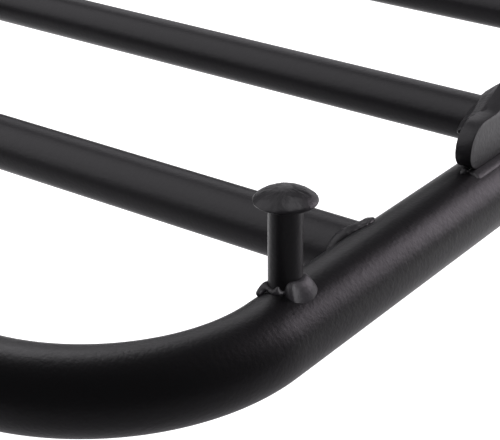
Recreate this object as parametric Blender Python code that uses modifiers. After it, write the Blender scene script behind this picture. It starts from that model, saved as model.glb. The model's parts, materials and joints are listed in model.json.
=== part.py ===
"""Folding luggage rack: a welded tube rack that folds up about a front hinge.

Frame: X across the rack, +Y forward to the hinge, +Z up. The origin is the middle of
the base plate's underside, straight below the hinge axis. Units are metres.
"""
import bpy
import bmesh
from math import asin, cos, pi, sin, sqrt
from mathutils import Matrix, Vector

# ---- driving dimensions ------------------------------------------------------------
GAP = 0.0003                  # clearance kept between faces that touch or are welded

RAIL_HALF_SPACING = 0.130     # middle plane to the axis of a side rail
RAIL_DIAMETER = 0.022
RAIL_WALL = 0.002
CORNER_RADIUS = 0.0538        # centreline radius of the two rear corners
RAIL_HEIGHT = 0.030           # rail axis above the base plate's underside
RAIL_REAR_Y = -0.4156         # axis of the rear run of the rail
RAIL_SETBACK = 0.0027         # hinge bracket to the end cap of a side rail

REAR_CROSS_DIAMETER = 0.0167  # lower cross tube, between the side rails
REAR_CROSS_AHEAD = 0.0529     # start of a rear corner to the lower cross tube
TOP_CROSS_DIAMETER = 0.014    # upper cross tubes, on the rails and between the side plates
SECOND_CROSS_AHEAD = 0.1154   # start of a rear corner to the rearmost upper cross tube
FRONT_CROSS_SETBACK = 0.0586  # hinge axis back to the foremost upper cross tube
TOP_CROSS_WELD_GAP = 0.00066  # upper cross tube's end above the round of the rail
CROSS_WALL = 0.0015

PLATE_THICKNESS = 0.005       # side plates that carry the hinge
PLATE_OVERHANG = 0.022        # side plate past the rearmost upper cross tube
NOSE_HEIGHT = 0.0137          # side plate's nose above the crown of the rail
NOSE_RADIUS = 0.008
HEEL_RADIUS = 0.005           # side plate's lower rear corner
NOSE_LENGTH = 0.015           # rear edge to the foot of the ramp
RAMP_FOOT_RADIUS = 0.008
RAMP_LENGTH = 0.021
SHOULDER_HEIGHT = 0.0247      # side plate above the crown, past the ramp
SHOULDER_RADIUS = 0.020

PIVOT_Y = 0.0
PIVOT_RISE = 0.026            # hinge axis above the rail axis
BOLT_DIAMETER = 0.010
BOLT_HEAD_SHOULDER = 0.0035   # bolt head past the shank, at its flats
BOLT_HEAD_HEIGHT = 0.0064
BUSH_WALL = 0.002
BUSH_FLANGE_WIDTH = 0.0027
BUSH_FLANGE_THICKNESS = 0.0015
EYE_WALL = 0.0054             # metal round the bush in a hinge eye
WASHER_WIDTH = 0.0052
WASHER_THICKNESS = 0.0016

KNOB_RADIUS = 0.018
KNOB_LOBES = 6
KNOB_LOBE_DEPTH = 0.0022
KNOB_HEIGHT = 0.016
KNOB_EDGE = 0.0025
KNOB_BORE_DEPTH = 0.011

PEG_STEM_DIAMETER = 0.0087
PEG_HEAD_DIAMETER = 0.0161
PEG_HEIGHT = 0.0264           # crown of the tube under it to the top of its head
PEG_HEAD_HEIGHT = 0.0044
PEG_RIM = 0.0009
REAR_PEG_AHEAD = 0.0096       # start of a rear corner to the peg
REAR_PEG_INSET = 0.0021       # rail axis to the peg, towards the middle
FRONT_PEG_INSET = 0.026

BASE_LENGTH = 0.065
BASE_SIDE_MARGIN = 0.016      # base plate past the rail axis
BASE_THICKNESS = 0.005
BASE_CORNER_RADIUS = 0.010
WING_WIDTH = 0.034            # the base plate's two rear wings, under the buffers
WING_MARGIN = 0.0045          # wing past its buffer
SLOT_WIDTH = 0.009
SLOT_LENGTH = 0.020
SLOT_SPACING_X = 0.120
SLOT_SPACING_Y = 0.040

BRACKET_THICKNESS = 0.005
BRACKET_WIDTH = 0.034
BRACKET_STEP = 0.0005         # the foot stands this far past the upright all round
FOOT_WIDTH = 0.034
SCREW_DIAMETER = 0.008
SCREW_HEAD_SHOULDER = 0.003   # screw head past the shank
SCREW_HEAD_HEIGHT = 0.0044
SCREW_HEAD_RIM = 0.0013       # straight part of the head, under its dome
SCREW_SOCKET_RADIUS = 0.0025
SCREW_SOCKET_DEPTH = 0.0024
SCREW_SPACING = 0.018

BUFFER_Y = -0.044
BUFFER_DIAMETER = 0.018
BUFFER_STEM_DIAMETER = 0.008
BUFFER_CROWN = 0.0015

CAP_FLANGE = 0.003
CAP_INSERT = 0.012
CAP_ROUND = 0.0015

# ---- sizes that follow ---------------------------------------------------------------
RAIL_RADIUS = RAIL_DIAMETER / 2
CROWN_Z = RAIL_HEIGHT + RAIL_RADIUS
PIVOT_Z = RAIL_HEIGHT + PIVOT_RISE
RAIL_FRONT_Y = PIVOT_Y - BRACKET_WIDTH / 2 - RAIL_SETBACK - CAP_FLANGE - GAP
BEND_START_Y = RAIL_REAR_Y + CORNER_RADIUS
REAR_PEG_Y = BEND_START_Y + REAR_PEG_AHEAD
REAR_CROSS_Y = BEND_START_Y + REAR_CROSS_AHEAD
SECOND_CROSS_Y = BEND_START_Y + SECOND_CROSS_AHEAD
FRONT_CROSS_Y = PIVOT_Y - FRONT_CROSS_SETBACK
THIRD_CROSS_Y = (SECOND_CROSS_Y + FRONT_CROSS_Y) / 2
PLATE_REAR_Y = SECOND_CROSS_Y - PLATE_OVERHANG
PLATE_INNER_X = RAIL_HALF_SPACING - PLATE_THICKNESS / 2
PLATE_OUTER_X = RAIL_HALF_SPACING + PLATE_THICKNESS / 2
BUSH_RADIUS = BOLT_DIAMETER / 2 + GAP + BUSH_WALL
EYE_RADIUS = BUSH_RADIUS + GAP + EYE_WALL
BRACKET_OUTER_X = PLATE_INNER_X - BUSH_FLANGE_THICKNESS - 2 * GAP
BRACKET_INNER_X = BRACKET_OUTER_X - BRACKET_THICKNESS
TOP_CROSS_REACH = PLATE_INNER_X - GAP
RAIL_SEAT = sqrt(RAIL_RADIUS ** 2 - (RAIL_HALF_SPACING - TOP_CROSS_REACH) ** 2)
TOP_CROSS_Z = RAIL_HEIGHT + RAIL_SEAT + TOP_CROSS_WELD_GAP + TOP_CROSS_DIAMETER / 2
WASHER_X = PLATE_OUTER_X + 2 * GAP
KNOB_X = WASHER_X + WASHER_THICKNESS + GAP
SIDES = (("left", -1), ("right", 1))
X_AXIS_TURN = (0, pi / 2, 0)  # lays a turned shape's axis along X, its top towards +X

collection = None
cutters = None


# ---- helpers -------------------------------------------------------------------------
def clear_scene():
    for old in list(bpy.data.objects):
        bpy.data.objects.remove(old, do_unlink=True)


def new_collection(name):
    made = bpy.data.collections.new(name)
    bpy.context.scene.collection.children.link(made)
    return made


def finish(name, colour, roughness, metallic):
    """A plain material for one finish."""
    made = bpy.data.materials.new(name)
    made.use_nodes = True
    shader = made.node_tree.nodes["Principled BSDF"]
    shader.inputs["Base Color"].default_value = (*colour, 1)
    shader.inputs["Roughness"].default_value = roughness
    shader.inputs["Metallic"].default_value = metallic
    return made


def add_object(name, data, material, location=(0, 0, 0), rotation=(0, 0, 0)):
    made = bpy.data.objects.new(name, data)
    made.location = location
    made.rotation_euler = rotation
    data.materials.append(material)
    collection.objects.link(made)
    return made


def shade_round(mesh):
    mesh.shade_smooth()
    mesh.set_sharp_from_angle(angle=0.7)


def as_mesh(curve_object):
    """Replace a curve object by its mesh, with its caps welded."""
    bpy.context.view_layer.update()
    evaluated = curve_object.evaluated_get(bpy.context.evaluated_depsgraph_get())
    mesh = bpy.data.meshes.new_from_object(evaluated)
    build = bmesh.new()
    build.from_mesh(mesh)
    bmesh.ops.remove_doubles(build, verts=build.verts, dist=1e-6)
    build.to_mesh(mesh)
    build.free()
    shade_round(mesh)
    made = bpy.data.objects.new(curve_object.name, mesh)
    made.matrix_world = curve_object.matrix_world.copy()
    collection.objects.link(made)
    name = curve_object.name
    bpy.data.objects.remove(curve_object, do_unlink=True)
    made.name = name
    return made


def hollow_tube(name, path, diameter, wall, material, resolution=10):
    """A round tube with open ends along a list of points."""
    curve = bpy.data.curves.new(name, "CURVE")
    curve.dimensions = "3D"
    curve.bevel_depth = diameter / 2
    curve.bevel_resolution = resolution
    curve.use_fill_caps = False
    spline = curve.splines.new("POLY")
    spline.points.add(len(path) - 1)
    for point, place in zip(spline.points, path):
        point.co = (*place, 1)
    made = as_mesh(add_object(name, curve, material))
    thickness = made.modifiers.new("wall", "SOLIDIFY")
    thickness.thickness = wall
    thickness.offset = -1
    return made


def cut(target, cutter_mesh, location, rotation):
    """Take a shape out of a piece and hide the shape."""
    cutter = bpy.data.objects.new("cutter", cutter_mesh)
    cutter.location = location
    cutter.rotation_euler = rotation
    cutter.hide_render = True
    cutter.display_type = "WIRE"
    cutters.objects.link(cutter)
    boolean = target.modifiers.new("cut", "BOOLEAN")
    boolean.operation = "DIFFERENCE"
    boolean.object = cutter


def cylinder_mesh(name, radius, length, segments=32):
    """A capped cylinder about Z, centred on its middle."""
    mesh = bpy.data.meshes.new(name)
    build = bmesh.new()
    bmesh.ops.create_cone(build, cap_ends=True, segments=segments,
                          radius1=radius, radius2=radius, depth=length)
    build.to_mesh(mesh)
    build.free()
    return mesh


def turned(name, profile, material, location, rotation=(0, 0, 0), steps=32):
    """A shape turned about Z from (radius, height) points, top of the axis first."""
    mesh = bpy.data.meshes.new(name)
    mesh.from_pydata([(radius, 0, height) for radius, height in profile],
                     [(i, i + 1) for i in range(len(profile) - 1)], [])
    made = add_object(name, mesh, material, location, rotation)
    screw = made.modifiers.new("turn", "SCREW")
    screw.steps = steps
    screw.render_steps = steps
    screw.use_merge_vertices = True
    screw.merge_threshold = 0.00001
    screw.use_smooth_shade = True
    return made


def ring_profile(inner, outer, bottom, top):
    """A closed rectangular section, for a washer or a bush."""
    return [(inner, top), (outer, top), (outer, bottom), (inner, bottom), (inner, top)]


def arc(centre, radius, start, end, count):
    """Points on an arc, from one angle to another, ends included."""
    steps = [start + (end - start) * i / (count - 1) for i in range(count)]
    return [(centre[0] + radius * cos(a), centre[1] + radius * sin(a)) for a in steps]


def rounded(corners, count=5):
    """An outline through (x, y, radius) corners, each rounded by an arc."""
    outline = []
    for i, (x, y, radius) in enumerate(corners):
        here = Vector((x, y))
        before = Vector(corners[i - 1][:2]) - here
        after = Vector(corners[(i + 1) % len(corners)][:2]) - here
        if radius == 0:
            outline.append((x, y))
            continue
        half = before.angle(after) / 2
        inset = radius * cos(half) / sin(half)
        start = here + before.normalized() * inset
        end = here + after.normalized() * inset
        middle = here + (before.normalized() + after.normalized()).normalized() * radius / sin(half)
        first = start - middle
        turn = first.angle_signed(end - middle)
        for step in range(count):
            swung = Matrix.Rotation(-turn * step / (count - 1), 2) @ first
            outline.append(tuple(middle + swung))
    return outline


def plate(name, outlines, thickness, material, location, rotation, edge=0.0):
    """A flat plate about its middle plane, cut to its first outline with the rest as holes."""
    curve = bpy.data.curves.new(name, "CURVE")
    curve.dimensions = "2D"
    curve.fill_mode = "BOTH"
    curve.extrude = thickness / 2 - edge
    curve.bevel_depth = edge
    curve.bevel_resolution = 1
    for outline in outlines:
        spline = curve.splines.new("POLY")
        spline.points.add(len(outline) - 1)
        spline.use_cyclic_u = True
        for point, (x, y) in zip(spline.points, outline):
            point.co = (x, y, 0, 1)
    return as_mesh(add_object(name, curve, material, location, rotation))


def circle(centre, radius, count=28):
    return arc(centre, radius, 0, 2 * pi, count + 1)[:-1]


def slot(centre, width, length):
    """A slot along the first axis with round ends."""
    reach = length / 2 - width / 2
    right = arc((centre[0] + reach, centre[1]), width / 2, -pi / 2, pi / 2, 9)
    left = arc((centre[0] - reach, centre[1]), width / 2, pi / 2, 3 * pi / 2, 9)
    return right + left


def hang_on(pivot, pieces):
    """Parent pieces to an empty on their joint's axis, where they stand."""
    for piece in pieces:
        piece.parent = pivot
        piece.matrix_parent_inverse = Matrix.Translation(-pivot.location)


def add_axis(name, location):
    empty = bpy.data.objects.new(name, None)
    empty.location = location
    collection.objects.link(empty)
    return empty


UPRIGHT = (pi / 2, 0, pi / 2)  # stands a flat outline up, its first axis along Y


# ---- the folding rack ------------------------------------------------------------------
def outer_rail(coat):
    """The tube that runs down both sides and round the two rear corners."""
    bend_x = RAIL_HALF_SPACING - CORNER_RADIUS
    right = arc((bend_x, BEND_START_Y), CORNER_RADIUS, 0, -pi / 2, 13)
    left = arc((-bend_x, BEND_START_Y), CORNER_RADIUS, -pi / 2, -pi, 13)
    path = [(RAIL_HALF_SPACING, RAIL_FRONT_Y)] + right + left
    path.append((-RAIL_HALF_SPACING, RAIL_FRONT_Y))
    return hollow_tube("outer_rail", [(x, y, RAIL_HEIGHT) for x, y in path],
                       RAIL_DIAMETER, RAIL_WALL, coat)


def rear_cross_tube(coat):
    """The lower cross tube, with its ends cut to the round of the rails."""
    ends = [(side * RAIL_HALF_SPACING, REAR_CROSS_Y, RAIL_HEIGHT) for _, side in SIDES]
    made = hollow_tube("cross_tube_rear", ends, REAR_CROSS_DIAMETER, CROSS_WALL, coat)
    for _, side in SIDES:
        cutter = cylinder_mesh("rail_cutter", RAIL_RADIUS + GAP, 3 * REAR_CROSS_DIAMETER)
        place = (side * RAIL_HALF_SPACING, REAR_CROSS_Y, RAIL_HEIGHT)
        cut(made, cutter, place, (pi / 2, 0, 0))
    return made


def top_cross_tube(name, y, coat):
    """An upper cross tube that lies on the rails and ends at the side plates."""
    ends = [(end * TOP_CROSS_REACH, y, TOP_CROSS_Z) for end in (-1, 1)]
    return hollow_tube(name, ends, TOP_CROSS_DIAMETER, CROSS_WALL, coat)


def side_plate_outline():
    """The side plate from its low rear nose up a ramp to the round hinge eye."""
    foot = CROWN_Z + GAP
    nose = CROWN_Z + NOSE_HEIGHT
    shoulder = CROWN_Z + SHOULDER_HEIGHT
    ramp_foot = PLATE_REAR_Y + NOSE_LENGTH
    eye = arc((PIVOT_Y, PIVOT_Z), EYE_RADIUS, pi / 2, -pi / 2, 15)
    corners = rounded([
        (PLATE_REAR_Y, foot, HEEL_RADIUS),
        (PLATE_REAR_Y, nose, NOSE_RADIUS),
        (ramp_foot, nose, RAMP_FOOT_RADIUS),
        (ramp_foot + RAMP_LENGTH, shoulder, SHOULDER_RADIUS),
        (PIVOT_Y, PIVOT_Z + EYE_RADIUS, 0),
        (PIVOT_Y, PIVOT_Z - EYE_RADIUS, 0),
        (RAIL_FRONT_Y, foot, 0),
    ], 7)
    top = corners.index((PIVOT_Y, PIVOT_Z + EYE_RADIUS))
    return corners[:top] + eye + corners[top + 2:]


def side_plate(side_name, side, coat):
    eye_hole = circle((PIVOT_Y, PIVOT_Z), BUSH_RADIUS + GAP)
    return plate(f"side_plate_{side_name}", [side_plate_outline(), eye_hole], PLATE_THICKNESS, coat,
                 (side * RAIL_HALF_SPACING, 0, 0), UPRIGHT)


def tie_down_peg(name, x, y, crown, coat):
    """A mushroom-headed peg for a strap's hook, welded on a tube's crown."""
    stem = PEG_STEM_DIAMETER / 2
    head = PEG_HEAD_DIAMETER / 2
    top = PEG_HEIGHT
    shoulder = top - PEG_HEAD_HEIGHT + PEG_RIM
    dome = [(head * sin(a), shoulder + (top - shoulder) * cos(a))
            for a in [pi / 2 * i / 8 for i in range(8)]]
    dome[0] = (0, top)
    profile = dome + [(head, shoulder), (head - PEG_RIM, shoulder - PEG_RIM),
                      (stem, top - PEG_HEAD_HEIGHT - PEG_RIM), (stem, GAP), (0, GAP)]
    return turned(name, profile, coat, (x, y, crown), steps=24)


def rail_end_cap(side_name, side, plastic):
    """A push-in plug that closes the front end of a side rail."""
    outer = RAIL_RADIUS
    insert = RAIL_RADIUS - RAIL_WALL - GAP
    top = GAP + CAP_FLANGE
    profile = [(0, top), (outer - CAP_ROUND, top), (outer, top - CAP_ROUND), (outer, GAP),
               (insert, GAP), (insert, GAP - CAP_INSERT), (0, GAP - CAP_INSERT)]
    place = (side * RAIL_HALF_SPACING, RAIL_FRONT_Y, RAIL_HEIGHT)
    return turned(f"rail_end_cap_{side_name}", profile, plastic, place, (-pi / 2, 0, 0), 24)


def pivot_bush(side_name, side, nylon):
    """A flanged bush in the side plate's eye, its flange between plate and bracket."""
    bore = BOLT_DIAMETER / 2 + GAP
    flange = BUSH_RADIUS + BUSH_FLANGE_WIDTH
    inner = -PLATE_THICKNESS / 2 - GAP
    profile = [(bore, PLATE_THICKNESS / 2), (BUSH_RADIUS, PLATE_THICKNESS / 2), (BUSH_RADIUS, inner),
               (flange, inner), (flange, inner - BUSH_FLANGE_THICKNESS),
               (bore, inner - BUSH_FLANGE_THICKNESS), (bore, PLATE_THICKNESS / 2)]
    place = (side * RAIL_HALF_SPACING, PIVOT_Y, PIVOT_Z)
    return turned(f"pivot_bush_{side_name}", profile, nylon, place, (0, side * pi / 2, 0))


def folding_rack(coat, plastic, nylon):
    pieces = [
        outer_rail(coat),
        rear_cross_tube(coat),
        top_cross_tube("cross_tube_second", SECOND_CROSS_Y, coat),
        top_cross_tube("cross_tube_third", THIRD_CROSS_Y, coat),
        top_cross_tube("cross_tube_front", FRONT_CROSS_Y, coat),
    ]
    for side_name, side in SIDES:
        rear_x = side * (RAIL_HALF_SPACING - REAR_PEG_INSET)
        front_x = side * (RAIL_HALF_SPACING - FRONT_PEG_INSET)
        front_crown = TOP_CROSS_Z + TOP_CROSS_DIAMETER / 2
        pieces += [
            side_plate(side_name, side, coat),
            tie_down_peg(f"tie_down_peg_rear_{side_name}", rear_x, REAR_PEG_Y, CROWN_Z, coat),
            tie_down_peg(f"tie_down_peg_front_{side_name}", front_x, FRONT_CROSS_Y, front_crown, coat),
            rail_end_cap(side_name, side, plastic),
            pivot_bush(side_name, side, nylon),
        ]
    hang_on(add_axis("fold_axis", Vector((0, PIVOT_Y, PIVOT_Z))), pieces)


# ---- the fixed base --------------------------------------------------------------------
def base_plate(coat):
    """The flat plate that bolts to whatever carries the rack, with four slots and two wings."""
    half_x = RAIL_HALF_SPACING + BASE_SIDE_MARGIN
    half_y = BASE_LENGTH / 2
    wing_x = half_x - WING_WIDTH
    wing_y = BUFFER_Y - BUFFER_DIAMETER / 2 - WING_MARGIN
    corners = [(half_x, wing_y), (half_x, half_y), (-half_x, half_y), (-half_x, wing_y),
               (-wing_x, wing_y), (-wing_x, -half_y), (wing_x, -half_y), (wing_x, wing_y)]
    outline = rounded([(x, y, BASE_CORNER_RADIUS) for x, y in corners], 6)
    holes = []
    for _, side in SIDES:
        for end in (-1, 1):
            place = (side * SLOT_SPACING_X / 2, end * SLOT_SPACING_Y / 2)
            holes.append(slot(place, SLOT_WIDTH, SLOT_LENGTH))
        holes.append(circle((side * RAIL_HALF_SPACING, BUFFER_Y), BUFFER_STEM_DIAMETER / 2 + GAP, 20))
        for x, y in screw_places(side):
            holes.append(circle((x, y), SCREW_DIAMETER / 2 + GAP, 20))
    return plate("base_plate", [outline] + holes, BASE_THICKNESS, coat,
                 (0, 0, BASE_THICKNESS / 2), (0, 0, 0))


def screw_places(side):
    """Where the two screws of one hinge bracket go through its foot."""
    x = side * (BRACKET_INNER_X - (FOOT_WIDTH - BRACKET_THICKNESS) / 2)
    return [(x, PIVOT_Y + end * SCREW_SPACING / 2) for end in (-1, 1)]


def hinge_bracket(side_name, side, coat):
    """A bent bracket: an upright with a round eye for the pivot, and a foot."""
    low = BASE_THICKNESS + GAP
    half = BRACKET_WIDTH / 2
    root = low + BRACKET_THICKNESS / 2
    waist = low + 2 * BRACKET_THICKNESS
    reach = half - BRACKET_STEP
    eye = arc((PIVOT_Y, PIVOT_Z), EYE_RADIUS, 0, pi, 15)
    outline = [(PIVOT_Y - reach, root), (PIVOT_Y + reach, root), (PIVOT_Y + reach, waist)] + eye
    outline.append((PIVOT_Y - reach, waist))
    hole = circle((PIVOT_Y, PIVOT_Z), BOLT_DIAMETER / 2 + GAP)
    middle_x = (BRACKET_OUTER_X + BRACKET_INNER_X) / 2
    upright = plate(f"hinge_bracket_{side_name}", [outline, hole], BRACKET_THICKNESS, coat,
                    (side * middle_x, 0, 0), UPRIGHT)
    foot_x = BRACKET_OUTER_X + BRACKET_STEP - FOOT_WIDTH / 2
    half_x = FOOT_WIDTH / 2
    foot_outline = [(-half_x, -half), (half_x, -half), (half_x, half), (-half_x, half)]
    holes = [circle((x - side * foot_x, y - PIVOT_Y), SCREW_DIAMETER / 2 + GAP, 20)
             for x, y in screw_places(side)]
    foot = plate(f"foot_{side_name}", [foot_outline] + holes, BRACKET_THICKNESS, coat,
                 (side * foot_x, PIVOT_Y, low + BRACKET_THICKNESS / 2), (0, 0, 0))
    collection.objects.unlink(foot)
    cutters.objects.link(foot)
    foot.hide_render = True
    foot.display_type = "WIRE"
    join = upright.modifiers.new("foot", "BOOLEAN")
    join.operation = "UNION"
    join.object = foot
    return upright


def bracket_screw(name, place, zinc):
    """A button-head screw through the foot into the base plate."""
    shank = SCREW_DIAMETER / 2
    head = shank + SCREW_HEAD_SHOULDER
    seat = BASE_THICKNESS + BRACKET_THICKNESS + 2 * GAP
    rim = seat + SCREW_HEAD_RIM
    dome_height = SCREW_HEAD_HEIGHT - SCREW_HEAD_RIM
    mouth = asin(SCREW_SOCKET_RADIUS / head)
    dome = [(head * sin(a), rim + dome_height * cos(a))
            for a in [mouth + (pi / 2 - mouth) * i / 5 for i in range(6)]]
    floor = seat + SCREW_HEAD_HEIGHT - SCREW_SOCKET_DEPTH
    profile = [(0, floor), (SCREW_SOCKET_RADIUS, floor)] + dome
    profile += [(head, seat), (shank, seat), (shank, 2 * GAP), (0, 2 * GAP)]
    return turned(name, profile, zinc, (*place, 0), steps=20)


def pivot_bolt(side_name, side, zinc):
    """A hexagon-head bolt from inside the bracket, out to the clamp knob."""
    head_radius = (BOLT_DIAMETER / 2 + BOLT_HEAD_SHOULDER) / cos(pi / 6)
    head_x = BRACKET_INNER_X - GAP
    tip_x = KNOB_X + KNOB_BORE_DEPTH - 2 * GAP
    made = add_object(f"pivot_bolt_{side_name}",
                      cylinder_mesh("bolt_head", head_radius, BOLT_HEAD_HEIGHT, 6),
                      zinc, (side * (head_x - BOLT_HEAD_HEIGHT / 2), PIVOT_Y, PIVOT_Z), X_AXIS_TURN)
    start_x = head_x - BOLT_HEAD_HEIGHT / 2
    shank = bpy.data.objects.new("bolt_shank", cylinder_mesh("bolt_shank", BOLT_DIAMETER / 2,
                                                             tip_x - start_x, 28))
    shank.location = (side * (tip_x + start_x) / 2, PIVOT_Y, PIVOT_Z)
    shank.rotation_euler = X_AXIS_TURN
    shank.hide_render = True
    shank.display_type = "WIRE"
    cutters.objects.link(shank)
    join = made.modifiers.new("shank", "BOOLEAN")
    join.operation = "UNION"
    join.object = shank
    return made


def pivot_washer(side_name, side, zinc):
    bore = BOLT_DIAMETER / 2 + GAP
    profile = ring_profile(bore, bore + WASHER_WIDTH, 0, WASHER_THICKNESS)
    place = (side * WASHER_X, PIVOT_Y, PIVOT_Z)
    return turned(f"pivot_washer_{side_name}", profile, zinc, place, (0, side * pi / 2, 0))


def clamp_knob(side_name, side, plastic):
    """A lobed knob whose thread clamps the hinge."""
    count = 12 * KNOB_LOBES
    outline = []
    for i in range(count):
        angle = 2 * pi * i / count
        radius = KNOB_RADIUS - KNOB_EDGE - KNOB_LOBE_DEPTH * (1 - cos(KNOB_LOBES * angle)) / 2
        outline.append((radius * cos(angle), radius * sin(angle)))
    place = (side * (KNOB_X + KNOB_HEIGHT / 2), PIVOT_Y, PIVOT_Z)
    made = plate(f"clamp_knob_{side_name}", [outline], KNOB_HEIGHT, plastic, place,
                 X_AXIS_TURN, edge=KNOB_EDGE)
    bore = cylinder_mesh("knob_bore", BOLT_DIAMETER / 2 + GAP, 2 * KNOB_BORE_DEPTH, 28)
    cut(made, bore, (side * KNOB_X, PIVOT_Y, PIVOT_Z), X_AXIS_TURN)
    return made


def rest_buffer(side_name, side, rubber):
    """A push-in rubber buffer that a side rail rests on when the rack is down."""
    outer = BUFFER_DIAMETER / 2
    stem = BUFFER_STEM_DIAMETER / 2
    seat = BASE_THICKNESS + GAP
    top = RAIL_HEIGHT - RAIL_RADIUS - GAP
    profile = [(0, top), (outer - 2 * BUFFER_CROWN, top),
               (outer - BUFFER_CROWN / 2, top - BUFFER_CROWN / 2),
               (outer, top - 2 * BUFFER_CROWN), (outer, seat), (stem, seat), (stem, 2 * GAP), (0, 2 * GAP)]
    place = (side * RAIL_HALF_SPACING, BUFFER_Y, 0)
    return turned(f"rest_buffer_{side_name}", profile, rubber, place, steps=24)


def fixed_base(coat, zinc, plastic, rubber):
    base_plate(coat)
    for side_name, side in SIDES:
        hinge_bracket(side_name, side, coat)
        pivot_bolt(side_name, side, zinc)
        pivot_washer(side_name, side, zinc)
        rest_buffer(side_name, side, rubber)
        clamp_knob(side_name, side, plastic)
        for place, end in zip(screw_places(side), ("rear", "front")):
            bracket_screw(f"bracket_screw_{side_name}_{end}", place, zinc)


def main():
    global collection, cutters
    clear_scene()
    collection = new_collection("folding_luggage_rack")
    cutters = new_collection("cutters")
    coat = finish("black_powder_coat", (0.018, 0.018, 0.020), 0.42, 0.0)
    plastic = finish("black_plastic", (0.022, 0.022, 0.023), 0.50, 0.0)
    nylon = finish("white_nylon", (0.62, 0.61, 0.57), 0.45, 0.0)
    zinc = finish("zinc_plate", (0.55, 0.55, 0.56), 0.32, 1.0)
    rubber = finish("black_rubber", (0.020, 0.020, 0.021), 0.80, 0.0)
    folding_rack(coat, plastic, nylon)
    fixed_base(coat, zinc, plastic, rubber)


main()
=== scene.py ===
"""Folding luggage rack: the finished surfaces and welds over its working frame.

Every size is in metres, X across the rack, +Y forward to the hinge, +Z up.
"""
import json
from math import asin, cos, pi, radians, sin, sqrt

import bpy
from mathutils import Matrix, Vector

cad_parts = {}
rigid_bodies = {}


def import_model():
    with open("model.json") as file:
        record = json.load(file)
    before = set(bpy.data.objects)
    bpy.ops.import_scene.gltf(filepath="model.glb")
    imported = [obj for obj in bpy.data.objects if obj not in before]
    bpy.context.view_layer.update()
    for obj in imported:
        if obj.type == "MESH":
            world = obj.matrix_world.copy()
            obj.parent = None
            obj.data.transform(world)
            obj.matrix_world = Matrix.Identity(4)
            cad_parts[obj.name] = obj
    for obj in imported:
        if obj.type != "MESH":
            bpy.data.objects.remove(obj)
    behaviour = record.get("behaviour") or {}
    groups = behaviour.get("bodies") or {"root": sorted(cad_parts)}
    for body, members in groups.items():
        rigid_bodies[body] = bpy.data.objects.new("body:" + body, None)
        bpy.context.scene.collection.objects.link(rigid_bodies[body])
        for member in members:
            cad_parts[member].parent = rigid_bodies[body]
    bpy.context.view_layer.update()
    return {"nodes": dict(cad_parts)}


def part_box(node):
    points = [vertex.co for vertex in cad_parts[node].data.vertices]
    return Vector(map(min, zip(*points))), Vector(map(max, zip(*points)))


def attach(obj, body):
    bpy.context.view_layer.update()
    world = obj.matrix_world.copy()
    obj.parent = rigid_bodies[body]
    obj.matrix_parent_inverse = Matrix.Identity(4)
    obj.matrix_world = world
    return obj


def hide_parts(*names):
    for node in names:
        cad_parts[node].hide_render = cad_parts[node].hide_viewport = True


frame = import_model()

bl_info = {
    "name": "Folding Luggage Rack",
    "version": (1, 0, 0),
    "blender": (4, 5, 0),
    "location": "3D View > Sidebar > Luggage Rack",
    "description": "Builds a powder-coated tube luggage rack that folds on a front hinge",
    "category": "Object",
}

# ---- the working frame's own measures --------------------------------------------------
SIDES = (("left", -1), ("right", 1))
TOP_TUBES = ("second", "third", "front")
RAIL_LOW, RAIL_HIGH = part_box("outer_rail")
RAIL_RADIUS = (RAIL_HIGH[2] - RAIL_LOW[2]) / 2
RAIL_X = RAIL_HIGH[0] - RAIL_RADIUS
RAIL_Z = (RAIL_HIGH[2] + RAIL_LOW[2]) / 2
RAIL_REAR_Y = RAIL_LOW[1] + RAIL_RADIUS
RAIL_FRONT_Y = RAIL_HIGH[1]
CROWN_Z = RAIL_HIGH[2]
PLATE_LOW, PLATE_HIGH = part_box("side_plate_right")
PLATE_X = (PLATE_LOW[0] + PLATE_HIGH[0]) / 2
PLATE_HALF = (PLATE_HIGH[0] - PLATE_LOW[0]) / 2
X_TURN = (0, pi / 2, 0)
GAP = 0.0003                     # what the working frame keeps between welded pieces
MM = 0.001


def centre(node):
    low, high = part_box(node)
    return (Vector(low) + Vector(high)) / 2


def span(node):
    low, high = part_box(node)
    return Vector(high) - Vector(low)


# ---- user settings -----------------------------------------------------------------------
class RackSizes(bpy.types.PropertyGroup):
    """Sizes of the finished surfaces."""
    corner_radius: bpy.props.FloatProperty(
        name="Corner radius", description="Centreline radius of the rail's rear corners",
        default=0.0538, min=0.03, unit="LENGTH")
    rail_wall: bpy.props.FloatProperty(
        name="Rail wall", description="Wall of the outer rail's tube",
        default=0.002, min=0.0005, unit="LENGTH")
    cross_wall: bpy.props.FloatProperty(
        name="Cross tube wall", description="Wall of the cross tubes",
        default=0.0015, min=0.0005, unit="LENGTH")
    bead_radius: bpy.props.FloatProperty(
        name="Bead radius", description="Radius of one drop of a weld bead",
        default=0.0021, min=0.0005, unit="LENGTH")
    bead_grain: bpy.props.FloatProperty(
        name="Bead grain", description="Size of the cells that a weld bead is melted into",
        default=0.00032, min=0.0001, unit="LENGTH")
    plate_edge: bpy.props.FloatProperty(
        name="Plate edge", description="Radius on the edges of the cut plates",
        default=0.0007, min=0.0, unit="LENGTH")


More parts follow.
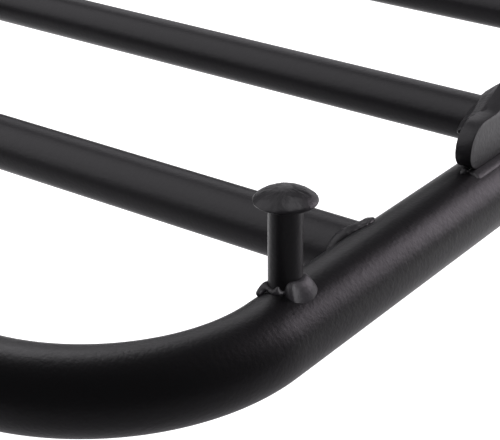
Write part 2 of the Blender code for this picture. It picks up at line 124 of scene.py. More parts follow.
class RackFinish(bpy.types.PropertyGroup):
    """Colours of the finishes."""
    coat: bpy.props.FloatVectorProperty(
        name="Powder coat", description="Colour of the powder coat", subtype="COLOR",
        default=(0.0095, 0.0088, 0.0100), min=0, max=1)
    zinc: bpy.props.FloatVectorProperty(
        name="Zinc", description="Colour of the plated fasteners", subtype="COLOR",
        default=(0.60, 0.61, 0.63), min=0, max=1)
    plastic: bpy.props.FloatVectorProperty(
        name="Plastic", description="Colour of the knobs and end caps", subtype="COLOR",
        default=(0.021, 0.021, 0.022), min=0, max=1)
    nylon: bpy.props.FloatVectorProperty(
        name="Nylon", description="Colour of the hinge bushes", subtype="COLOR",
        default=(0.64, 0.62, 0.56), min=0, max=1)
    rubber: bpy.props.FloatVectorProperty(
        name="Rubber", description="Colour of the rest buffers", subtype="COLOR",
        default=(0.019, 0.019, 0.019), min=0, max=1)


class RackStudio(bpy.types.PropertyGroup):
    """The stage around the rack."""
    floor_drop: bpy.props.FloatProperty(
        name="Floor drop", description="Height of the rack's base above the floor",
        default=0.42, min=0.0, unit="LENGTH")
    floor_glow: bpy.props.FloatProperty(
        name="Floor glow", description="Light that the far floor adds of its own",
        default=1.0, min=0.0)
    key_light: bpy.props.FloatProperty(
        name="Key light", description="Brightness of the softbox ahead at the right",
        default=4.5, min=0.0)
    left_light: bpy.props.FloatProperty(
        name="Left light", description="Brightness of the softbox over the left side",
        default=1.7, min=0.0)
    rim_light: bpy.props.FloatProperty(
        name="Rim light", description="Brightness of the strips that edge the rail at the left",
        default=3.6, min=0.0)
    top_light: bpy.props.FloatProperty(
        name="Top light", description="Brightness of the softbox overhead",
        default=3.4, min=0.0)
    fore_light: bpy.props.FloatProperty(
        name="Fore light", description="Brightness of the softbox ahead at the left",
        default=1.2, min=0.0)
    weld_light: bpy.props.FloatProperty(
        name="Weld light", description="Brightness of the softbox over the peg welds",
        default=5.0, min=0.0)
    side_light: bpy.props.FloatProperty(
        name="Side light", description="Brightness of the softbox beside the plates",
        default=1.8, min=0.0)
    wall_light: bpy.props.FloatProperty(
        name="Wall light", description="Brightness of the wall ahead of the rack",
        default=1.2, min=0.0)


# ---- materials ---------------------------------------------------------------------------
class Reading:
    """One output in a material, which can be added and multiplied."""

    def __init__(self, surface, socket):
        self.surface = surface
        self.socket = socket

    def worked(self, operation, *values):
        made = self.surface.node("ShaderNodeMath", {"operation": operation}, dict(enumerate(values)))
        return Reading(self.surface, made.outputs[0])

    def __add__(self, other):
        return self.worked("ADD", self, other)

    def __mul__(self, other):
        return self.worked("MULTIPLY", self, other)

    __radd__ = __add__
    __rmul__ = __mul__


class Surface:
    """A material under construction, with its principled shader and object coordinates."""

    def __init__(self, name):
        self.material = bpy.data.materials.new(name)
        self.material.use_nodes = True
        self.tree = self.material.node_tree
        self.shader = self.tree.nodes["Principled BSDF"]
        self.place = Reading(self, self.tree.nodes.new("ShaderNodeTexCoord").outputs["Object"])

    def feed(self, socket, value):
        if isinstance(value, Reading):
            self.tree.links.new(value.socket, socket)
        else:
            socket.default_value = value

    def node(self, kind, settings=None, sockets=None):
        made = self.tree.nodes.new(kind)
        for name, value in (settings or {}).items():
            setattr(made, name, value)
        for name, value in (sockets or {}).items():
            self.feed(made.inputs[name], value)
        return made

    def noise(self, size, detail):
        """Cloudy noise whose features are about one size across."""
        made = self.node("ShaderNodeTexNoise", None, {
            "Vector": self.place, "Scale": 1 / size, "Detail": detail, "Roughness": 0.5})
        return Reading(self, made.outputs["Fac"])

    def mixed(self, factor, first, second):
        made = self.node("ShaderNodeMix", {"data_type": "RGBA"}, {"Factor": factor})
        self.feed(made.inputs[6], (*first, 1) if isinstance(first, tuple) else first)
        self.feed(made.inputs[7], (*second, 1) if isinstance(second, tuple) else second)
        return Reading(self, made.outputs[2])

    def along(self, direction):
        """How far a point lies in one direction."""
        made = self.node("ShaderNodeVectorMath", {"operation": "DOT_PRODUCT"}, {0: self.place, 1: direction})
        return Reading(self, made.outputs["Value"])

    def ramp(self, value, low, high):
        """Smoothly from 0 at the low value to 1 at the high one."""
        made = self.node("ShaderNodeMapRange", {"interpolation_type": "SMOOTHSTEP"}, {
            "Value": value, "From Min": low, "From Max": high})
        return Reading(self, made.outputs[0])

    def relief(self, height, strength, depth):
        made = self.node("ShaderNodeBump", None, {
            "Height": height, "Strength": strength, "Distance": depth})
        return Reading(self, made.outputs["Normal"])

    def done(self, **sockets):
        for name, value in sockets.items():
            self.feed(self.shader.inputs[name.replace("_", " ").title().replace("Ior", "IOR")], value)
        return self.material


def scaled(colour, factor):
    return tuple(channel * factor for channel in colour)


def powder_coat(colour):
    """Baked powder coat: satin, with a fine orange-peel skin."""
    skin = Surface("powder_coat")
    peel = skin.noise(0.0011, 2.5)
    flow = skin.noise(0.0045, 2.0)
    cloud = skin.noise(0.030, 3.0)
    colour_now = skin.mixed(cloud, scaled(colour, 0.82), scaled(colour, 1.18))
    height = peel * 0.8 + flow * 0.6
    return skin.done(base_color=colour_now, roughness=0.32 + peel * 0.08 + cloud * 0.06,
                     normal=skin.relief(height, 0.55, 0.00016), specular_ior_level=0.27)


def zinc_plate(colour):
    """Bright zinc plate, a little cloudy."""
    skin = Surface("zinc_plate")
    cloud = skin.noise(0.006, 3.0)
    grain = skin.noise(0.0006, 2.0)
    colour_now = skin.mixed(cloud, scaled(colour, 0.80), scaled(colour, 1.10))
    return skin.done(base_color=colour_now, metallic=1.0, roughness=0.24 + grain * 0.16,
                     normal=skin.relief(grain, 0.12, 0.00005))


def moulded_plastic(colour):
    """Spark-eroded black plastic."""
    skin = Surface("black_plastic")
    grain = skin.noise(0.0005, 2.0)
    cloud = skin.noise(0.012, 2.0)
    colour_now = skin.mixed(cloud, scaled(colour, 0.85), scaled(colour, 1.2))
    return skin.done(base_color=colour_now, roughness=0.46 + grain * 0.14,
                     normal=skin.relief(grain, 0.35, 0.00008))


def natural_nylon(colour):
    """Turned nylon, slightly cloudy."""
    skin = Surface("white_nylon")
    cloud = skin.noise(0.004, 2.0)
    colour_now = skin.mixed(cloud, scaled(colour, 0.93), scaled(colour, 1.05))
    return skin.done(base_color=colour_now, roughness=0.42 + cloud * 0.1,
                     normal=skin.relief(cloud, 0.1, 0.0001))


def moulded_rubber(colour):
    """Matte rubber with a faint bloom."""
    skin = Surface("black_rubber")
    grain = skin.noise(0.0007, 3.0)
    bloom = skin.noise(0.007, 3.0)
    colour_now = skin.mixed(bloom, scaled(colour, 0.8), scaled(colour, 1.7))
    return skin.done(base_color=colour_now, roughness=0.72 + grain * 0.14,
                     normal=skin.relief(grain, 0.4, 0.00008))


MAKERS = {
    "powder_coat": (powder_coat, "coat"),
    "zinc_plate": (zinc_plate, "zinc"),
    "black_plastic": (moulded_plastic, "plastic"),
    "nylon": (natural_nylon, "nylon"),
    "black_rubber": (moulded_rubber, "rubber"),
}
finishes = {}


def finish_for(slot):
    if slot not in finishes:
        make, field = MAKERS[slot]
        finishes[slot] = make(tuple(getattr(bpy.context.scene.rack_finish, field)))
    return finishes[slot]


# ---- modelling helpers ---------------------------------------------------------------------
def nothing_selected():
    if bpy.context.object and bpy.context.object.mode != "OBJECT":
        bpy.ops.object.mode_set(mode="OBJECT")
    bpy.ops.object.select_all(action="DESELECT")


def take(obj):
    """Select one object and make it the active one."""
    nothing_selected()
    obj.select_set(True)
    bpy.context.view_layer.objects.active = obj
    return obj


def edit(obj):
    take(obj)
    bpy.ops.object.mode_set(mode="EDIT")


def leave():
    bpy.ops.object.mode_set(mode="OBJECT")


def added(primitive, name, **settings):
    """Add a primitive with nothing else selected, and name it."""
    nothing_selected()
    primitive(**settings)
    made = bpy.context.object
    made.name = name
    made.data.name = name
    return made


def settle(obj):
    """Put an object's place into its mesh."""
    take(obj)
    bpy.ops.object.transform_apply(location=True, rotation=True, scale=True)


def tidy_mesh(obj, distance=0.000005):
    """Merge doubles and point all faces outwards."""
    edit(obj)
    bpy.ops.mesh.select_all(action="SELECT")
    bpy.ops.mesh.remove_doubles(threshold=distance)
    bpy.ops.mesh.normals_make_consistent(inside=False)
    leave()


def modify(obj, kind, **settings):
    """Add one modifier and apply it."""
    take(obj)
    modifier = obj.modifiers.new(kind.lower(), kind)
    for name, value in settings.items():
        setattr(modifier, name, value)
    bpy.ops.object.modifier_apply(modifier=modifier.name)


def smooth(obj, angle=radians(35)):
    take(obj)
    bpy.ops.object.shade_smooth_by_angle(angle=angle)


def finished(obj, slot, body, *nodes):
    """Give a finished piece its material, its body and the nodes it stands for."""
    settle(obj)
    obj.data.materials.clear()
    obj.data.materials.append(finish_for(slot))
    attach(obj, body)
    if nodes:
        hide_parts(*nodes)
    return obj


def duplicate(obj, name):
    """A copy with its own mesh."""
    made = obj.copy()
    made.data = obj.data.copy()
    made.name = name
    made.data.name = name
    bpy.context.scene.collection.objects.link(made)
    return made


def extrude(*offset):
    bpy.ops.mesh.extrude_region_move(TRANSFORM_OT_translate={"value": offset})


def lathe(name, profile, vertices=64):
    """Turn (radius, height) points about Z, from the bottom up, ring by ring."""
    start = profile[0]
    made = added(bpy.ops.mesh.primitive_circle_add, name, vertices=vertices, radius=start[0],
                 fill_type="NOTHING", location=(0, 0, start[1]))
    settle(made)
    edit(made)
    bpy.ops.mesh.select_all(action="SELECT")
    for (radius, height), (next_radius, next_height) in zip(profile, profile[1:]):
        extrude(0, 0, next_height - height)
        if next_radius == 0:
            bpy.ops.mesh.merge(type="CENTER")
            break
        ratio = next_radius / radius
        bpy.ops.transform.resize(value=(ratio, ratio, 1), center_override=(0, 0, next_height))
    leave()
    return made


def close_ends(obj):
    """Fill every open loop of edges."""
    edit(obj)
    bpy.ops.mesh.select_all(action="DESELECT")
    bpy.ops.mesh.select_mode(type="EDGE")
    bpy.ops.mesh.select_non_manifold(extend=False)
    bpy.ops.mesh.edge_face_add()
    bpy.ops.mesh.select_mode(type="VERT")
    leave()


def refined(node, edge):
    """A welded copy of a node's mesh with its sharp edges rounded."""
    source = frame["nodes"][node]
    made = duplicate(source, node + "_finished")
    made.parent = None
    made.matrix_world = Matrix.Identity(4)
    tidy_mesh(made)
    edit(made)
    bpy.ops.mesh.select_all(action="SELECT")
    bpy.ops.mesh.dissolve_limited(angle_limit=radians(2))
    leave()
    if edge:
        modify(made, "BEVEL", width=edge, segments=3, limit_method="ANGLE",
               angle_limit=radians(40), harden_normals=False)
    smooth(made)
    return made


# ---- weld beads ----------------------------------------------------------------------------
class Drop:
    """One drop of weld metal, or with a second place a straight rod of it."""

    def __init__(self, place, radius, end=None):
        self.place = Vector(place)
        self.radius = radius
        self.end = end

    def add(self):
        if self.end is None:
            bpy.ops.mesh.primitive_ico_sphere_add(subdivisions=2, radius=self.radius, location=self.place)
            return
        way = self.end - self.place
        bpy.ops.mesh.primitive_cylinder_add(
            vertices=20, radius=self.radius, depth=way.length,
            location=(self.place + self.end) / 2, rotation=way.to_track_quat("Z", "Y").to_euler())


def run_of_drops(points, pitch):
    """Drops at an even pitch along a row of (place, radius) points."""
    drops = []
    for (place, radius), (next_place, next_radius) in zip(points, points[1:]):
        steps = max(1, round((next_place - place).length / pitch))
        for i in range(steps):
            share = i / steps
            drops.append(Drop(place.lerp(next_place, share), radius + (next_radius - radius) * share))
    return drops + [Drop(*points[-1])]


def melted(name, drops, grain, passes):
    """Add all drops to one mesh, then melt them into a single bead, smoother with each pass."""
    bead = None
    nothing_selected()
    for drop in drops:
        drop.add()
        if bead is None:
            bead = bpy.context.object
            bead.name = name
            bead.data.name = name
            bpy.ops.object.mode_set(mode="EDIT")
    leave()
    settle(bead)
    modify(bead, "REMESH", mode="VOXEL", voxel_size=grain, use_smooth_shade=True)
    modify(bead, "SMOOTH", factor=0.5, iterations=passes)
    smooth(bead, radians(180))
    return bead


def saddle(tube_radius, tube_y, tube_z, side, count):
    """Points round the joint of a cross tube with a side rail, short of the rail's top and foot."""
    limit = 0.97 * RAIL_RADIUS
    places = []
    for i in range(count):
        angle = 2 * pi * i / count
        y = tube_y + tube_radius * cos(angle)
        z = tube_z + tube_radius * sin(angle)
        if abs(z - RAIL_Z) < limit:
            reach = sqrt(RAIL_RADIUS ** 2 - (z - RAIL_Z) ** 2)
            places.append(Vector((side * (RAIL_X - reach), y, z)))
    return places


# ---- operators -------------------------------------------------------------------------------
class RACK_OT_outer_rail(bpy.types.Operator):
    """Bend the outer rail from one open ring"""
    bl_idname = "rack.outer_rail"
    bl_label = "Outer rail"

    def execute(self, context):
        sizes = context.scene.rack_sizes
        bend_x = RAIL_X - sizes.corner_radius
        bend_y = RAIL_REAR_Y + sizes.corner_radius
        rail = added(bpy.ops.mesh.primitive_circle_add, "outer_rail_tube", vertices=96,
                     radius=RAIL_RADIUS, fill_type="NOTHING",
                     location=(RAIL_X, RAIL_FRONT_Y, RAIL_Z), rotation=(pi / 2, 0, 0))
        settle(rail)
        edit(rail)
        bpy.ops.mesh.select_all(action="SELECT")
        extrude(0, bend_y - RAIL_FRONT_Y, 0)
        bpy.ops.mesh.spin(steps=48, angle=pi / 2, center=(bend_x, bend_y, RAIL_Z), axis=(0, 0, 1))
        extrude(-2 * bend_x, 0, 0)
        bpy.ops.mesh.spin(steps=48, angle=pi / 2, center=(-bend_x, bend_y, RAIL_Z), axis=(0, 0, 1))
        extrude(0, RAIL_FRONT_Y - bend_y, 0)
        leave()
        tidy_mesh(rail)
        modify(rail, "SOLIDIFY", thickness=sizes.rail_wall, offset=-1, use_even_offset=True)
        smooth(rail)
        finished(rail, "powder_coat", "rack", "outer_rail")
        return {"FINISHED"}


class RACK_OT_cross_tubes(bpy.types.Operator):
    """Cut the four cross tubes, the rear one to the round of the rails"""
    bl_idname = "rack.cross_tubes"
    bl_label = "Cross tubes"

    def execute(self, context):
        wall = context.scene.rack_sizes.cross_wall
        for place in ("rear",) + TOP_TUBES:
            node = "cross_tube_" + place
            size = span(node)
            coped = place == "rear"
            length = 2 * RAIL_X if coped else size[0] + GAP
            tube = added(bpy.ops.mesh.primitive_cylinder_add, node + "_tube", vertices=80,
                         radius=size[2] / 2, depth=length, end_fill_type="NOTHING",
                         location=centre(node), rotation=X_TURN)
            settle(tube)
            modify(tube, "SOLIDIFY", thickness=wall, offset=-1)
            if coped:
                for _, side in SIDES:
                    self.cope(tube, side, centre(node)[1])
            smooth(tube)
            finished(tube, "powder_coat", "rack", node)
        return {"FINISHED"}

    def cope(self, tube, side, y):
        """Take the rail's round out of one end of a tube."""
        cutter = added(bpy.ops.mesh.primitive_cylinder_add, "rail_round", vertices=96,
                       radius=RAIL_RADIUS - GAP / 2, depth=4 * RAIL_RADIUS,
                       location=(side * RAIL_X, y, RAIL_Z), rotation=(pi / 2, 0, 0))
        modify(tube, "BOOLEAN", operation="DIFFERENCE", object=cutter, solver="EXACT")
        bpy.data.objects.remove(cutter, do_unlink=True)


class RACK_OT_side_plates(bpy.types.Operator):
    """Round the edges of the two hinge side plates"""
    bl_idname = "rack.side_plates"
    bl_label = "Side plates"

    def execute(self, context):
        edge = context.scene.rack_sizes.plate_edge
        for side_name, _ in SIDES:
            node = "side_plate_" + side_name
            finished(refined(node, edge), "powder_coat", "rack", node)
        return {"FINISHED"}


class RACK_OT_pegs(bpy.types.Operator):
    """Turn the four mushroom-headed strap pegs"""
    bl_idname = "rack.pegs"
    bl_label = "Strap pegs"

    def execute(self, context):
        pattern = self.turned(span("tie_down_peg_rear_right"))
        for end in ("rear", "front"):
            for side_name, _ in SIDES:
                node = f"tie_down_peg_{end}_{side_name}"
                low, _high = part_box(node)
                middle = centre(node)
                peg = duplicate(pattern, node + "_turned")
                peg.location = (middle[0], middle[1], low[2])
                finished(peg, "powder_coat", "rack", node)
        bpy.data.objects.remove(pattern, do_unlink=True)
        return {"FINISHED"}

    def turned(self, size):
        """One peg, standing on the origin, its head a shallow cap with a thin rim."""
        head = size[0] / 2
        top = size[2] + 0.0002  # the coat on the head
        foot = -0.0008          # sunk into the weld
        stem = 0.00435
        cap = 0.0039
        rim = 0.0008
        neck = 0.0008
        under = top - cap
        dome = top - under - rim
        ball = (head ** 2 + dome ** 2) / (2 * dome)
        profile = [(stem, foot), (stem, under - neck)]
        profile += [(stem + neck * (1 - cos(a)), under - neck + neck * sin(a))
                    for a in (pi / 8, pi / 4, 3 * pi / 8, pi / 2)]
        profile += [(head - rim + rim * sin(a), under + 0.7 * rim * (1 - cos(a)))
                    for a in (0, pi / 6, pi / 3, pi / 2)]
        slope = asin(head / ball)
        rings = 16
        lead = 0.3  # share of a ring that the rolled rim takes
        for i in range(rings):
            angle = slope * (1 - (i + lead) / (rings + lead))
            profile.append((ball * sin(angle), top - ball * (1 - cos(angle))))
        profile.append((0, top))
        peg = lathe("strap_peg", profile, 96)
        close_ends(peg)
        tidy_mesh(peg)
        self.hammer(peg, under + rim)
        smooth(peg)
        return peg

    def hammer(self, peg, height):
        """Dent the skin of the head a little above a height, as a cold-formed head is."""
        crown = 0.0018  # radius that stays smooth
        edit(peg)
        bpy.ops.mesh.select_all(action="DESELECT")
        leave()
        for vertex in peg.data.vertices:
            vertex.select = vertex.co.z > height and vertex.co.xy.length > crown
        bpy.ops.object.mode_set(mode="EDIT")
        bpy.ops.mesh.select_mode(type="VERT")
        bpy.ops.transform.vertex_random(offset=0.00012, uniform=0, normal=1, seed=7)
        bpy.ops.mesh.vertices_smooth(factor=0.5, repeat=1)
        leave()


class RACK_OT_welds(bpy.types.Operator):
    """Lay the weld beads that hold the rack together"""
    bl_idname = "rack.welds"
    bl_label = "Weld beads"

    def execute(self, context):
        sizes = context.scene.rack_sizes
        for side_name, side in SIDES:
            self.rear_tube_bead(side_name, side, sizes)
            for place in TOP_TUBES:
                self.top_tube_bead(place, side_name, side, sizes)
            self.plate_beads(side_name, side, sizes)
            for end in ("rear", "front"):
                self.peg_bead(end, side_name, side, sizes)
        return {"FINISHED"}

    def rear_tube_bead(self, side_name, side, sizes):
        """A bead round the saddle where the lower tube meets a rail, fuller over its rear."""
        middle = centre("cross_tube_rear")
        radius = span("cross_tube_rear")[2] / 2
        count = 40
        beyond = 0.0013
        extra = 0.0009
        drops = [Drop(place, 0.0010)  # a row that runs out up the rail
                 for place in saddle(radius + beyond, middle[1], middle[2], side, count)]
        for i, place in enumerate(saddle(radius, middle[1], middle[2], side, count)):
            turn = 2 * pi * i / count
            fuller = extra * max(0.0, cos(turn - radians(140))) ** 6
            inwards = 0.0007 * fuller / extra - 0.0003
            drops.append(Drop(place + Vector((-side * inwards, 0, 0)), 0.0019 + fuller))
        bead = melted(f"rear_tube_weld_{side_name}", drops, sizes.bead_grain, passes=14)
        finished(bead, "powder_coat", "rack")

    def top_tube_bead(self, place, side_name, side, sizes):
        """A bead round an upper tube's end; the rearmost tube's also climbs the side plate."""
        node = "cross_tube_" + place
        middle = centre(node)
        radius = span(node)[2] / 2
        inner = PLATE_X - PLATE_HALF
        size = sizes.bead_radius * (0.75 if place == "second" else 1)
        count = 32
        drops = []
        for i in range(count):
            angle = 2 * pi * i / count
            out = Vector((0, cos(angle), sin(angle)))
            at = Vector((side * (inner - 0.0004), middle[1], middle[2])) + out * (radius - 0.0001)
            drops.append(Drop(at, size))
        if place == "second":
            mound = (  # inwards from the plate's middle, ahead of the tube, over its axis, radius
                (2.4, -13.5, 3.2, 1.2), (2.3, -11.0, 4.2, 1.7), (2.2, -7.5, 4.6, 2.2),
                (2.6, -3.5, 5.2, 2.7), (2.8, 0.5, 6.2, 3.0), (2.4, 4.5, 7.2, 3.0),
                (2.0, 8.0, 8.0, 2.6), (1.6, 11.0, 8.4, 2.0))
            rows = ((0.0, 0.0), (-1.7, 0.7), (-3.3, 1.9), (1.9, 0.3))  # outwards, sunk
            places = [(Vector((side * (PLATE_X - inwards * MM), middle[1] + ahead * MM,
                               middle[2] + rise * MM)), wide * MM)
                      for inwards, ahead, rise, wide in mound]
            for across, sunk in rows:
                aside = Vector((side * across * MM, 0, -sunk * MM))
                drops += run_of_drops([(at + aside, wide) for at, wide in places], pitch=0.0016)
        bead = melted(f"{place}_tube_weld_{side_name}", drops, sizes.bead_grain, passes=16)
        finished(bead, "powder_coat", "rack")

    def plate_beads(self, side_name, side, sizes):
        """A flat fillet along the outer foot of a side plate, and stitches along the inner."""
        start_y = PLATE_LOW[1] + 0.0022
        end_y = RAIL_FRONT_Y - 0.0015
        rows = (  # outwards, up, radius, where it starts, ahead of the bead's start
            (1.5, -0.8, 1.3, 0.3), (2.5, -0.95, 1.2, -0.2),
            (3.4, -1.25, 1.1, -0.5), (4.2, -1.6, 1.0, -0.8))
        drops = []
        for across, rise, size, ahead in rows:
            ends = [Vector((side * (PLATE_X + across * MM), y, CROWN_Z + rise * MM))
                    for y in (start_y + ahead * MM, end_y)]
            drops += [Drop(ends[0], size * MM, ends[1]), Drop(ends[0], size * MM), Drop(ends[1], size * MM)]
        tack = Vector((side * (PLATE_X + 0.4 * MM), start_y - 2.4 * MM, CROWN_Z - 0.1 * MM))
        drops += [Drop(tack, 0.0010), Drop(tack + Vector((0, 0.0010, 0.0006)), 0.0011)]
        bead = melted(f"plate_fillet_{side_name}", drops, sizes.bead_grain * 1.2, passes=10)
        finished(bead, "powder_coat", "rack")
        stitch = 0.020
        for number, y in enumerate((PLATE_LOW[1] + 3 * stitch, RAIL_FRONT_Y - 1.2 * stitch)):
            x = side * (PLATE_X - PLATE_HALF - 0.0006)
            ends = [Vector((x, y + along, CROWN_Z - 0.0001)) for along in (0, stitch)]
            drops = run_of_drops([(end, sizes.bead_radius) for end in ends], pitch=0.0020)
            bead = melted(f"plate_stitch_{side_name}_{number + 1}", drops, sizes.bead_grain, passes=6)
            finished(bead, "powder_coat", "rack")

    def peg_bead(self, end, side_name, side, sizes):
        """The welds round the foot of a peg: a full fillet outside, tacks and a run elsewhere."""
        node = f"tie_down_peg_{end}_{side_name}"
        low, _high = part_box(node)
        middle = centre(node)
        foot = Vector((middle[0], middle[1], low[2]))
        tacks = [  # outwards, ahead, up, radius
            (1.4, -4.5, -0.2, 0.9), (0.9, -4.4, 0.9, 0.7), (0.3, -4.7, -0.3, 1.0),
            (-1.2, -4.4, -0.4, 0.8), (-2.6, -3.7, -0.4, 0.8),
            (-3.6, -2.8, -0.2, 1.1), (-3.9, -3.5, -0.6, 1.1), (-4.1, -4.3, -1.1, 1.0),
            (-4.3, -5.1, -1.7, 0.9), (-4.4, -1.0, -0.9, 1.0), (-4.2, 2.0, -0.9, 1.4),
            (-2.6, 3.8, -0.4, 1.5), (0.0, 4.5, -0.2, 1.7), (2.2, 4.0, -0.1, 1.9)]
        slope = (  # from the stem, over the tube, radius
            (4.2, 2.0, 1.5), (4.7, 1.4, 1.8), (5.3, 0.6, 1.9), (6.0, -0.2, 1.8),
            (6.6, -0.7, 1.5), (7.2, -1.0, 1.3), (7.9, -1.0, 1.0))
        tube = 11.0
        melt = 0.15  # what the passes take off each drop
        for turn in range(-34, 45, 8):
            for reach, lift, size in slope:
                outwards = reach * cos(radians(turn))
                dip = tube - sqrt(tube ** 2 - outwards ** 2)
                tacks.append((outwards, reach * sin(radians(turn)), lift - dip, size))
        drops = []
        for outwards, ahead, up, size in tacks:
            size += melt
            if end == "front":  # here the tube under the foot runs across the rack
                outwards, ahead = ahead, outwards
            drops.append(Drop(foot + Vector((side * outwards * MM, ahead * MM, up * MM)), size * MM))
        bead = melted(f"peg_weld_{end}_{side_name}", drops, sizes.bead_grain, passes=26)
        finished(bead, "powder_coat", "rack")


class RACK_OT_hardware(bpy.types.Operator):
    """Finish the base plate, brackets, fasteners, bushes, buffers and knobs"""
    bl_idname = "rack.hardware"
    bl_label = "Base and hardware"

    def execute(self, context):
        edge = context.scene.rack_sizes.plate_edge
        jobs = [("base_plate", edge, "powder_coat", "base")]
        for side_name, _ in SIDES:
            jobs += [
                ("hinge_bracket_" + side_name, edge, "powder_coat", "base"),
                ("pivot_bolt_" + side_name, 0.0004, "zinc_plate", "base"),
                ("pivot_washer_" + side_name, 0.0002, "zinc_plate", "base"),
                ("rest_buffer_" + side_name, 0.0, "black_rubber", "base"),
                ("rail_end_cap_" + side_name, 0.0, "black_plastic", "rack"),
                ("pivot_bush_" + side_name, 0.0003, "nylon", "rack"),
                ("clamp_knob_" + side_name, 0.0, "black_plastic", "knob_" + side_name),
            ]
            for end in ("rear", "front"):
                jobs.append((f"bracket_screw_{side_name}_{end}", 0.0002, "zinc_plate", "base"))
        for node, width, slot, body in jobs:
            finished(refined(node, width), slot, body, node)
        return {"FINISHED"}


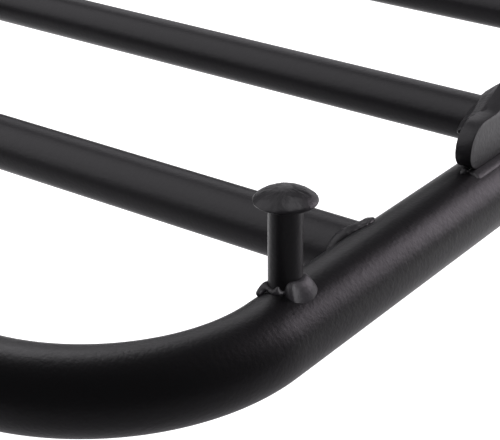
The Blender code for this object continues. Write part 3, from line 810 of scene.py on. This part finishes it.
class RACK_OT_stage(bpy.types.Operator):
    """Set the floor, the lights and the camera"""
    bl_idname = "rack.stage"
    bl_label = "Stage"

    def execute(self, context):
        studio = context.scene.rack_studio
        self.floor(studio)
        self.surround(context.scene)
        rail = self.receivers("the_rail", lambda name: name.startswith("outer_rail"))
        rest = self.receivers("all_but_the_rail", lambda name: not name.startswith("outer_rail"))
        feet = self.receivers("the_peg_welds", lambda name: name.startswith("peg_weld"))
        flanks = self.receivers("the_side_plates", lambda name: name.startswith("side_plate"))
        boxes = (  # name, direction from the rack, distance, size, brightness, what it lights
            ("key_softbox", (0.41, 0.81, 0.38), 2.0, (1.0, 1.1), studio.key_light, None),
            ("left_softbox", (-0.62, -0.42, 0.58), 1.5, (1.8, 1.9), studio.left_light, rest),
            ("rim_strip", (-0.60, 0.24, 0.76), 1.5, (0.7, 0.7), studio.rim_light, rail),
            ("edge_strip", (-0.62, 0.54, 0.52), 1.5, (0.8, 0.7), studio.rim_light * 0.25, rail),
            ("top_softbox", (0.20, 0.08, 0.97), 1.5, (1.0, 1.0), studio.top_light, rest),
            ("fore_softbox", (-0.58, 0.62, 0.53), 1.5, (0.8, 0.7), studio.fore_light, rest),
            ("weld_softbox", (0.70, -0.30, 0.62), 1.5, (1.5, 1.5), studio.weld_light, feet),
            ("flank_softbox", (0.56, 0.74, -0.28), 1.1, (0.9, 0.5), studio.side_light, flanks),
            ("back_wall", (-0.20, 0.97, 0.08), 2.6, (5.6, 0.75), studio.wall_light, None))
        for name, towards, distance, size, brightness, lit in boxes:
            lamp = self.softbox(name, towards, distance, size, brightness)
            if lit:
                lamp.light_linking.receiver_collection = lit
        bpy.data.lights["key_softbox"].color = (1.0, 0.90, 1.0)
        self.camera(context.scene)
        return {"FINISHED"}

    def receivers(self, title, wanted):
        """The meshes with a wanted name, as a collection that a lamp can be kept to."""
        group = bpy.data.collections.new(title)
        for obj in bpy.context.scene.objects:
            if obj.type == "MESH" and wanted(obj.name):
                group.objects.link(obj)
        return group

    def floor(self, studio):
        """A pale floor that glows more and more ahead of the rack, into a bright background."""
        floor = added(bpy.ops.mesh.primitive_plane_add, "floor", size=12,
                      location=(0, 0, -studio.floor_drop))
        settle(floor)
        pale = Surface("pale_floor")
        cloud = pale.noise(0.4, 2.0)
        away = pale.along((-0.592, 0.806, 0))
        sweep = pale.ramp(away, -0.8, 0.4) * 0.25 + pale.ramp(away, -0.05, 0.36) * 0.75
        floor.data.materials.append(pale.done(
            base_color=pale.mixed(cloud, (0.46, 0.46, 0.47), (0.50, 0.50, 0.50)), roughness=0.85,
            emission_color=(1, 1, 1, 1), emission_strength=sweep * studio.floor_glow))

    def surround(self, scene):
        """A dim grey room, white where it's seen directly."""
        world = bpy.data.worlds.new("studio")
        world.use_nodes = True
        scene.world = world
        tree = world.node_tree
        plain = tree.nodes["Background"]
        plain.inputs["Color"].default_value = (0.12, 0.12, 0.125, 1)
        pale = tree.nodes.new("ShaderNodeBackground")
        pale.inputs["Color"].default_value = (1, 1, 1, 1)
        seen = tree.nodes.new("ShaderNodeLightPath")
        mix = tree.nodes.new("ShaderNodeMixShader")
        tree.links.new(seen.outputs["Is Camera Ray"], mix.inputs[0])
        tree.links.new(plain.outputs[0], mix.inputs[1])
        tree.links.new(pale.outputs[0], mix.inputs[2])
        tree.links.new(mix.outputs[0], tree.nodes["World Output"].inputs["Surface"])
        scene.view_settings.view_transform = "Standard"

    def softbox(self, name, towards, distance, size, brightness):
        """An area light in one direction from the right rail, with an even brightness."""
        aim = Vector((RAIL_X, RAIL_REAR_Y / 2, RAIL_Z))
        place = aim + Vector(towards).normalized() * distance
        data = bpy.data.lights.new(name, "AREA")
        data.shape = "RECTANGLE"
        data.size, data.size_y = size
        data.energy = brightness * pi * size[0] * size[1]
        data.color = (0.98, 0.96, 1.0)
        lamp = bpy.data.objects.new(name, data)
        lamp.location = place
        lamp.rotation_euler = (aim - place).to_track_quat("-Z", "Y").to_euler()
        bpy.context.scene.collection.objects.link(lamp)
        return lamp

    def camera(self, scene):
        """A long lens close over the rack's rear right corner."""
        data = bpy.data.cameras.new("camera")
        data.lens = 118.3
        data.sensor_width = 36
        data.clip_start = 0.01
        eye = bpy.data.objects.new("camera", data)
        peg = centre("tie_down_peg_rear_right")
        heading = radians(36.28)
        pitch = radians(25.88)
        roll = radians(-0.42)
        eye.location = (RAIL_X + 0.20194, peg[1] - 0.29242, RAIL_Z + 0.20182)
        turn = Matrix.Rotation(heading, 3, "Z") @ Matrix.Rotation(pi / 2 - pitch, 3, "X")
        eye.rotation_euler = (turn @ Matrix.Rotation(roll, 3, "Z")).to_euler()
        scene.collection.objects.link(eye)
        scene.camera = eye


class RACK_PT_panel(bpy.types.Panel):
    """Sidebar panel of the luggage rack"""
    bl_idname = "RACK_PT_panel"
    bl_label = "Luggage Rack"
    bl_space_type = "VIEW_3D"
    bl_region_type = "UI"
    bl_category = "Luggage Rack"

    def draw(self, context):
        column = self.layout.column()
        for group in (context.scene.rack_sizes, context.scene.rack_finish, context.scene.rack_studio):
            for name in group.__annotations__:
                column.prop(group, name)
        for step in STEPS:
            column.operator(step.bl_idname)


STEPS = (RACK_OT_outer_rail, RACK_OT_cross_tubes, RACK_OT_side_plates, RACK_OT_pegs,
         RACK_OT_welds, RACK_OT_hardware, RACK_OT_stage)
GROUPS = (("rack_sizes", RackSizes), ("rack_finish", RackFinish), ("rack_studio", RackStudio))


def register():
    for field, group in GROUPS:
        bpy.utils.register_class(group)
        setattr(bpy.types.Scene, field, bpy.props.PointerProperty(type=group))
    for step in STEPS:
        bpy.utils.register_class(step)
    bpy.utils.register_class(RACK_PT_panel)


def unregister():
    bpy.utils.unregister_class(RACK_PT_panel)
    for step in reversed(STEPS):
        bpy.utils.unregister_class(step)
    for field, group in reversed(GROUPS):
        delattr(bpy.types.Scene, field)
        bpy.utils.unregister_class(group)


def main():
    register()
    bpy.ops.rack.outer_rail()
    bpy.ops.rack.cross_tubes()
    bpy.ops.rack.side_plates()
    bpy.ops.rack.pegs()
    bpy.ops.rack.welds()
    bpy.ops.rack.hardware()
    bpy.ops.rack.stage()
    nothing_selected()


if __name__ == "__main__":
    main()
